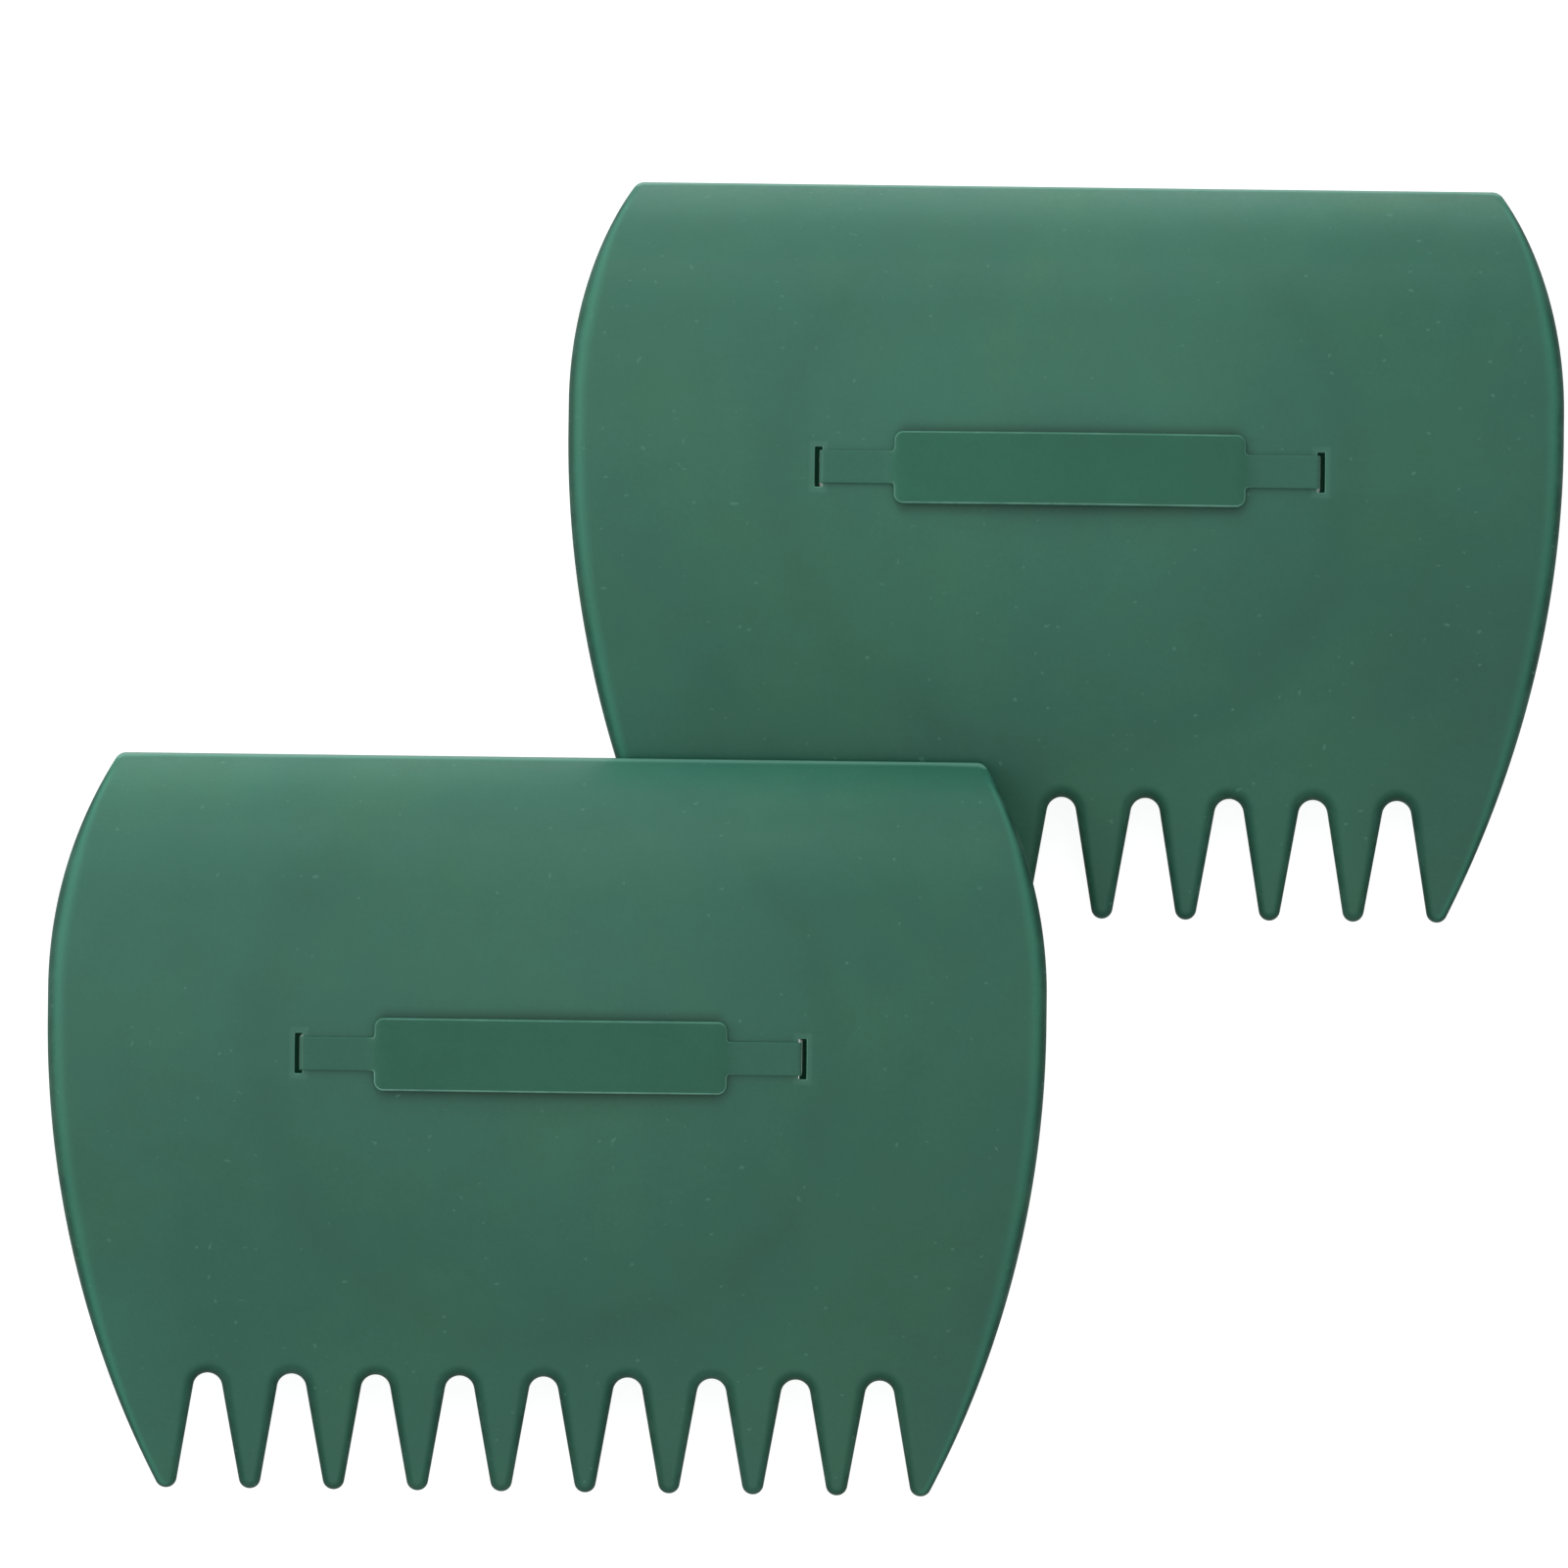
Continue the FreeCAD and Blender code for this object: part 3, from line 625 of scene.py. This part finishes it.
class Nodes:
    """Small helpers for writing a shader as nested calls."""

    def __init__(self, name):
        self.material = bpy.data.materials.new(name)
        self.material.use_nodes = True
        self.tree = self.material.node_tree
        self.shader = self.tree.nodes["Principled BSDF"]

    def link(self, source, target):
        self.tree.links.new(source, target)

    def feed(self, socket, value):
        """Set a socket from a number, a tuple or another node's output."""
        if isinstance(value, bpy.types.NodeSocket):
            self.link(value, socket)
        elif socket.type == "VECTOR":
            socket.default_value = value[:3]
        else:
            socket.default_value = value

    def attribute(self, name, output="Fac"):
        node = self.tree.nodes.new("ShaderNodeAttribute")
        node.attribute_name = name
        return node.outputs[output]

    def noise(self, vector, scale, detail=3.0, roughness=0.55):
        node = self.tree.nodes.new("ShaderNodeTexNoise")
        self.link(vector, node.inputs["Vector"])
        node.inputs["Scale"].default_value = scale
        node.inputs["Detail"].default_value = detail
        node.inputs["Roughness"].default_value = roughness
        return node.outputs["Fac"]

    def math(self, operation, first, second=0.0):
        node = self.tree.nodes.new("ShaderNodeMath")
        node.operation = operation
        self.feed(node.inputs[0], first)
        self.feed(node.inputs[1], second)
        return node.outputs[0]

    def remap(self, value, low, high, to_low, to_high):
        """Smoothly map low..high to to_low..to_high, held at the ends."""
        node = self.tree.nodes.new("ShaderNodeMapRange")
        node.interpolation_type = "SMOOTHSTEP"
        self.feed(node.inputs["Value"], value)
        numbers = {"From Min": low, "From Max": high, "To Min": to_low, "To Max": to_high}
        for socket, number in numbers.items():
            node.inputs[socket].default_value = number
        return node.outputs["Result"]

    def vector_math(self, operation, vector, other, output=0):
        node = self.tree.nodes.new("ShaderNodeVectorMath")
        node.operation = operation
        self.feed(node.inputs[0], vector)
        self.feed(node.inputs[1], other)
        return node.outputs[output]

    def mix(self, share, first, second):
        """A colour between two. A Mix node's colours are inputs 6 and 7 and output 2."""
        node = self.tree.nodes.new("ShaderNodeMix")
        node.data_type = "RGBA"
        self.feed(node.inputs[0], share)
        self.feed(node.inputs[6], first)
        self.feed(node.inputs[7], second)
        return node.outputs[2]

    def ramp(self, value, stops):
        """A grey ramp: stops are pairs of value and tone."""
        node = self.tree.nodes.new("ShaderNodeValToRGB")
        node.color_ramp.interpolation = "B_SPLINE"
        elements = node.color_ramp.elements
        while len(elements) < len(stops):
            elements.new(0.5)
        for element, (position, tone) in zip(elements, stops):
            element.position = position
            element.color = (tone, tone, tone, 1.0)
        self.link(value, node.inputs["Fac"])
        return node.outputs["Color"]

    def along(self, vector, axis):
        """One coordinate of a vector, along axis. Output 1 of the node is the number."""
        return self.vector_math("DOT_PRODUCT", vector, axis, 1)

    def product(self, first, *others):
        for other in others:
            first = self.math("MULTIPLY", first, other)
        return first

    def highest(self, first, *others):
        for other in others:
            first = self.math("MAXIMUM", first, other)
        return first

    def away(self, value, centre):
        """How far a value is from centre, either way."""
        return self.math("ABSOLUTE", self.math("SUBTRACT", value, centre))

    def rest(self, share):
        """What a share leaves of 1."""
        return self.math("SUBTRACT", 1.0, share)

    def piece_inputs(self):
        """The object's own place, the scoop's frame with its X and Y, and how far round a rim."""
        place = self.tree.nodes.new("ShaderNodeTexCoord").outputs["Object"]
        local = self.attribute("local", "Vector")
        x = self.along(local, (1.0, 0.0, 0.0))
        y = self.along(local, (0.0, 1.0, 0.0))
        return place, local, x, y, self.attribute("edge")

    def bump(self, height, distance, strength, normal=None):
        node = self.tree.nodes.new("ShaderNodeBump")
        self.link(height, node.inputs["Height"])
        node.inputs["Distance"].default_value = distance
        node.inputs["Strength"].default_value = strength
        if normal is not None:
            self.link(normal, node.inputs["Normal"])
        return node.outputs["Normal"]


SHELL_GREEN = (0.0195, 0.100, 0.067, 1.0)
WARM_GREEN = (0.0235, 0.104, 0.058, 1.0)
ARM_GREEN = (0.0235, 0.110, 0.074, 1.0)
GRIP_GREEN = (0.0150, 0.101, 0.0625, 1.0)
PALE_GREEN = (0.110, 0.270, 0.210, 1.0)
GREY_GREEN = (0.160, 0.260, 0.230, 1.0)

GLOSS, RIM_GLOSS = 0.34, 0.08
PAPER_ROUGHNESS, PAPER_GLOSS, PAPER_GLOW = 0.85, 0.1, 0.88
WHITE = (1.0, 1.0, 1.0, 1.0)

# Stretches of a scoop over which its shading changes, in metres along X or Y.
HEEL_ROLL = (0.084, 0.104)
HEEL_EDGE = (0.1035, 0.105)
SIDE_END = (0.095, 0.104)
SIDE_RIM = (0.130, 0.137)
LAST_GAP = (0.1345, 0.1375)
GAP_SHADE = (GAP_TOP * MM + 0.004, GAP_TOP * MM + 0.009)
OUTER_SKIN = ((CROWN - 1.6) * MM, (CROWN - 1.0) * MM)
GRIP_X, GRIP_Y = GRIP_HALF[0] * MM, GRIP_HALF[1] * MM
STRAP_X = STRAP_CENTRE * MM
SLOT_X = SLOT_REACH * MM
RING = RING_RADIUS * MM


def clouding(nodes, place):
    """Pigment that varies a little, in clouds, mottles and specks."""
    cloud = nodes.remap(nodes.noise(place, 9.0, 4.0), 0.3, 0.7, 0.945, 1.055)
    mottle = nodes.remap(nodes.noise(place, 60.0, 4.0, 0.65), 0.25, 0.75, 0.97, 1.03)
    speck = nodes.remap(nodes.noise(place, 700.0, 2.0), 0.3, 0.7, 0.975, 1.025)
    return nodes.product(cloud, mottle, speck)


def painted_light_and_panel_tone(nodes, local, x, y):
    """Tone over the panel: lighter in a disc round the middle, darker along the ring round the strap,
    slightly lighter at the tips and paler low on the left flank, with painted light and shade: darker to
    the right, lighter towards the heel, and a painted highlight on the heel's roll."""
    flat = nodes.vector_math("MULTIPLY", local, (1.0, 1.0, 0.0))
    radius = nodes.vector_math("LENGTH", flat, (0.0, 0.0, 0.0), 1)
    disc = nodes.remap(radius, 0.045, 0.09, 1.05, 1.0)
    on_ring = nodes.remap(nodes.away(radius, RING), 0.0, 0.014, 0.06, 0.0)
    ring = nodes.rest(nodes.product(on_ring, nodes.remap(y, 0.05, 0.09, 1.0, 0.2)))
    # Painted shade: darker towards the right.
    across = nodes.remap(x, 0.0, 0.16, 1.03, 0.845)
    # Painted light: lighter towards the heel.
    upper = nodes.remap(y, -0.09, 0.07, 1.04, 1.12)
    low = nodes.remap(y, -0.13, -0.05, 1.03, 1.0)
    # Painted highlight on the heel's roll, stronger towards the right.
    heel = nodes.product(nodes.remap(y, *HEEL_ROLL, 1.0, 1.17), nodes.remap(x, 0.0, 0.1, 1.0, 1.08))
    flank = nodes.product(nodes.remap(x, -0.16, -0.12, 0.12, 0.0), nodes.remap(y, -0.10, -0.05, 1.0, 0.0))
    return nodes.product(disc, ring, across, upper, low, heel, nodes.math("ADD", 1.0, flank))


def painted_rim_light_and_shade(nodes, x, y, edge):
    """A painted highlight as a pale band inside the side rims, painted shade outside it, and painted shade
    round the tooth gaps.
    """
    spread = nodes.math("ABSOLUTE", x)
    in_gap = nodes.product(nodes.remap(y, *GAP_SHADE, 1.0, 0.0), nodes.remap(spread, *LAST_GAP, 1.0, 0.0))
    at_side = nodes.product(
        nodes.rest(in_gap), nodes.remap(y, *SIDE_END, 1.0, 0.0), nodes.remap(spread, *SIDE_RIM, 0.0, 1.0))
    # The ramp's pale stop paints the highlight on the side rims' ridge, and its dark stops paint the shade
    # on their outer side.
    stops = ((0.0, 0.5), (0.15, 0.53), (0.36, 0.72), (0.52, 0.55), (0.66, 0.24), (0.9, 0.2))
    band = nodes.math("SUBTRACT", nodes.ramp(edge, stops), 0.5)
    side_highlight_and_shade = nodes.math("ADD", 1.0, nodes.product(band, 2.0, at_side))
    # Painted shade darkening the edges of the tooth gaps.
    gap_painted_shade = nodes.rest(nodes.product(nodes.remap(edge, 0.0, 0.8, 0.0, 0.6), in_gap))
    return nodes.product(side_highlight_and_shade, gap_painted_shade)


def painted_grip_shadow(nodes, local, x, y):
    """A painted shadow on the outer face, along the two long sides of the grip."""
    past_end = nodes.math("SUBTRACT", nodes.away(x, STRAP_X), GRIP_X)
    past_side = nodes.math("SUBTRACT", nodes.math("ABSOLUTE", y), GRIP_Y)
    on_outer = nodes.remap(nodes.along(local, (0.0, 0.0, 1.0)), *OUTER_SKIN, 0.0, 1.0)
    # The painted shadow, darkest at the grip's long sides and fading outward.
    line = nodes.product(
        nodes.remap(past_side, -0.001, 0.0046, 0.38, 0.0), nodes.remap(past_side, -0.005, -0.001, 0.1, 1.0),
        nodes.remap(past_end, -0.005, 0.0005, 1.0, 0.0), on_outer)
    return nodes.rest(line)


def shell_wear_and_highlights(nodes, place, x, y, edge):
    """Where the shell is paler: painted highlights on the slot lips, the side ridges and the heel's edge,
    and wear in rubbed patches on the rims and small nicks.
    """
    from_slot = nodes.away(nodes.away(x, STRAP_X), SLOT_X)
    by_slot = nodes.product(
        nodes.remap(from_slot, 0.0025, 0.004, 1.0, 0.0),
        nodes.remap(nodes.math("ABSOLUTE", y), 0.0085, 0.0100, 1.0, 0.0))
    # Painted highlight round the edges of the strap slots.
    lip = nodes.product(by_slot, nodes.ramp(edge, ((0.0, 0.0), (0.35, 0.8), (0.75, 0.8), (0.95, 0.1))))
    patch = nodes.remap(nodes.noise(place, 45.0, 5.0, 0.7), 0.42, 0.62, 0.02, 0.12)
    rubbed = nodes.product(patch, nodes.remap(edge, 0.25, 0.5, 0.0, 1.0))
    # Painted highlight along the side rims' ridge.
    ridge_highlight = nodes.product(
        nodes.ramp(edge, ((0.0, 0.0), (0.16, 0.02), (0.36, 0.16), (0.54, 0.02), (0.7, 0.0))),
        nodes.remap(nodes.math("ABSOLUTE", x), 0.130, 0.140, 0.0, 1.0), nodes.remap(y, *SIDE_END, 1.0, 0.0))
    # Painted highlight along the heel's edge.
    stops = ((0.0, 0.0), (0.36, 0.0), (0.58, 1.0), (0.78, 0.9), (0.87, 0.0), (1.0, 0.0))
    heel_highlight = nodes.product(nodes.ramp(edge, stops), nodes.remap(y, *HEEL_EDGE, 0.0, 0.9))
    nick = nodes.remap(nodes.noise(place, 420.0, 0.0), 0.80, 0.86, 0.0, 0.25)
    return nodes.highest(lip, rubbed, ridge_highlight, heel_highlight, nick)


def finish(nodes, place, base, wear_and_highlight, gloss):
    """Roughness and relief: faint rubbing and sheen, slight waves and fine mould grain."""
    nodes.link(base, nodes.shader.inputs["Base Color"])
    rub = nodes.remap(nodes.noise(place, 22.0, 4.0, 0.6), 0.3, 0.7, -0.045, 0.045)
    sheen = nodes.remap(nodes.noise(place, 380.0, 2.0), 0.3, 0.7, -0.03, 0.03)
    smoother = nodes.remap(wear_and_highlight, 0.0, 0.6, 0.43, 0.36)
    roughness = nodes.math("ADD", nodes.math("ADD", rub, sheen), smoother)
    nodes.link(roughness, nodes.shader.inputs["Roughness"])
    waves = nodes.bump(nodes.noise(place, 26.0, 2.0), 0.00035, 0.5)
    grain = nodes.bump(nodes.noise(place, 1500.0, 3.0, 0.6), 0.00005, 0.35, waves)
    nodes.link(grain, nodes.shader.inputs["Normal"])
    nodes.feed(nodes.shader.inputs["Specular IOR Level"], gloss)


def scaled(nodes, colour, tone):
    """A colour made lighter or darker by tone."""
    base = nodes.vector_math("SCALE", colour, (0.0, 0.0, 0.0))
    nodes.link(tone, base.node.inputs["Scale"])
    return base


def shell_plastic():
    """Matte green moulded plastic, paler and greyer towards the heel and the left, duller at its edges,
    with painted light and shade over the panel, round its rims and beside the grip.
    """
    nodes = Nodes("scoop_green")
    place, local, x, y, edge = nodes.piece_inputs()
    tone = nodes.product(
        clouding(nodes, place), painted_light_and_panel_tone(nodes, local, x, y), painted_rim_light_and_shade(nodes, x, y, edge),
        painted_grip_shadow(nodes, local, x, y))
    warm = nodes.remap(nodes.noise(place, 17.0, 5.0, 0.6), 0.42, 0.66, 0.0, 0.5)
    # Paler and greyer towards the heel and the left side.
    greying = nodes.product(nodes.remap(y, -0.10, 0.05, 0.0, 0.06), nodes.remap(x, 0.0, 0.14, 1.0, 0.15))
    green = nodes.mix(greying, scaled(nodes, nodes.mix(warm, SHELL_GREEN, WARM_GREEN), tone), GREY_GREEN)
    wear_and_highlight = shell_wear_and_highlights(nodes, place, x, y, edge)
    gloss = nodes.remap(edge, 0.0, 0.5, GLOSS, RIM_GLOSS)
    finish(nodes, place, nodes.mix(wear_and_highlight, green, PALE_GREEN), wear_and_highlight, gloss)
    return nodes.material


def strap_plastic():
    """The strap's plastic: a darker grip with painted highlights along its edges, stronger along the lower
    edge, and arms like the shell with a faint painted highlight on their edges.
    """
    nodes = Nodes("strap_green")
    place, _, x, y, edge = nodes.piece_inputs()
    on_arm = nodes.remap(nodes.away(x, STRAP_X), GRIP_X - 0.001, GRIP_X + 0.003, 0.0, 1.0)
    base = scaled(nodes, nodes.mix(on_arm, GRIP_GREEN, ARM_GREEN), clouding(nodes, place))
    patch = nodes.remap(nodes.noise(place, 70.0, 4.0, 0.7), 0.35, 0.65, 0.5, 1.0)
    # Painted highlight round the strap's rounded edges.
    line = nodes.ramp(edge, ((0.0, 0.0), (0.1, 0.0), (0.3, 1.0), (0.5, 1.0), (0.75, 0.4), (0.95, 0.0)))
    # The painted highlight is stronger along the lower edge.
    lower_edge = nodes.remap(y, -0.012, 0.012, 1.2, 0.6)
    grip_highlight = nodes.product(line, patch, lower_edge, nodes.rest(on_arm))
    arm_highlight = nodes.product(line, lower_edge, on_arm, 0.04)
    wear_and_highlight = nodes.math("ADD", grip_highlight, arm_highlight)
    finish(nodes, place, nodes.mix(wear_and_highlight, base, PALE_GREEN), wear_and_highlight, GLOSS)
    return nodes.material


def paper_white():
    """White paper lit from below, so that the background stays white."""
    nodes = Nodes("floor_paper")
    place = nodes.tree.nodes.new("ShaderNodeTexCoord").outputs["Object"]
    tone = nodes.remap(nodes.noise(place, 3.0, 2.0), 0.3, 0.7, 0.35, 0.36)
    nodes.link(scaled(nodes, WHITE, tone), nodes.shader.inputs["Base Color"])
    nodes.shader.inputs["Roughness"].default_value = PAPER_ROUGHNESS
    nodes.shader.inputs["Emission Color"].default_value = WHITE
    nodes.shader.inputs["Emission Strength"].default_value = PAPER_GLOW
    nodes.shader.inputs["Specular IOR Level"].default_value = PAPER_GLOSS
    return nodes.material


# ---------------------------------------------------------------- the pair

finishes = {"shell": shell_plastic(), "strap": strap_plastic()}
places = scoop_matrices()
for side in ("rear", "front"):
    shell = shell_piece(side + "_shell_moulding", places[side])
    shell.data.materials.append(finishes["shell"])
    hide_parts(side + "_scoop_shell")
    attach(shell, side + "_scoop")

    strap = strap_piece(side + "_strap_moulding", places[side])
    strap.data.materials.append(finishes["strap"])
    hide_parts(side + "_hand_strap")
    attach(strap, side + "_strap")


# ---------------------------------------------------------------- floor, lights and camera

FLOOR_HALF = 40.0
FLOOR_BELOW = 0.0003
WORLD_STRENGTH = 0.8
LIGHT_TARGET = (0.0, 0.0, 0.02)
CAMERA_TARGET = Vector((-0.0082, 0.0183, 0.020))
CAMERA_DISTANCE = 9.46
CAMERA_TILT, CAMERA_PAN, CAMERA_ROLL = math.radians(4.05), math.radians(0.32), math.radians(0.72)
LENS, SENSOR = 600.0, 36.0


def make_floor():
    """A wide floor, a little below the feet so that no faces coincide."""
    mesh = bpy.data.meshes.new("floor")
    turns = ((-1, -1), (1, -1), (1, 1), (-1, 1))
    corners = [(side * FLOOR_HALF, end * FLOOR_HALF, 0.0) for side, end in turns]
    mesh.from_pydata(corners, [], [(0, 1, 2, 3)])
    floor = bpy.data.objects.new("floor", mesh)
    bpy.context.scene.collection.objects.link(floor)
    mesh.materials.append(paper_white())
    floor.location.z = -FLOOR_BELOW


def aim(thing, location, target, roll=0.0):
    """Place a light or camera at location, looking at target with +Y up in its view,
    and turned anticlockwise about its own axis by roll."""
    back = (Vector(location) - Vector(target)).normalized()
    right = Vector((0.0, 1.0, 0.0)).cross(back).normalized()
    turn = Matrix((right, back.cross(right), back)).transposed().to_4x4()
    thing.matrix_world = Matrix.Translation(location) @ turn @ Matrix.Rotation(roll, 4, "Z")


def soft_light(name, location, width, height, power, seen_in_gloss=True):
    """A rectangular softbox. Out of the gloss it lights the plastic without a grey glare."""
    lamp = bpy.data.lights.new(name, "AREA")
    lamp.shape = "RECTANGLE"
    lamp.size = width
    lamp.size_y = height
    lamp.energy = power
    light = bpy.data.objects.new(name, lamp)
    bpy.context.scene.collection.objects.link(light)
    light.visible_glossy = seen_in_gloss
    aim(light, location, LIGHT_TARGET)


def make_world(strength):
    """An even white surround."""
    world = bpy.data.worlds.new("studio")
    world.use_nodes = True
    background = world.node_tree.nodes["Background"]
    background.inputs["Color"].default_value = WHITE
    background.inputs["Strength"].default_value = strength
    bpy.context.scene.world = world


def make_camera():
    """Almost straight above, 4 degrees towards the teeth, far away with a long lens."""
    lens = bpy.data.cameras.new("camera")
    lens.lens = LENS
    lens.sensor_width = SENSOR
    camera = bpy.data.objects.new("camera", lens)
    bpy.context.scene.collection.objects.link(camera)
    level = math.cos(CAMERA_PAN)
    away = Vector((math.sin(CAMERA_PAN), -math.sin(CAMERA_TILT) * level, math.cos(CAMERA_TILT) * level))
    aim(camera, CAMERA_TARGET + away * CAMERA_DISTANCE, CAMERA_TARGET, CAMERA_ROLL)
    bpy.context.scene.camera = camera


make_floor()
make_world(WORLD_STRENGTH)
soft_light("key", (-0.9, 2.2, 0.6), width=3.2, height=1.1, power=46.0, seen_in_gloss=False)
soft_light("fill", (-2.0, 0.3, 1.2), width=1.6, height=1.6, power=14.0)
make_camera()
bpy.context.scene.view_settings.view_transform = "Standard"
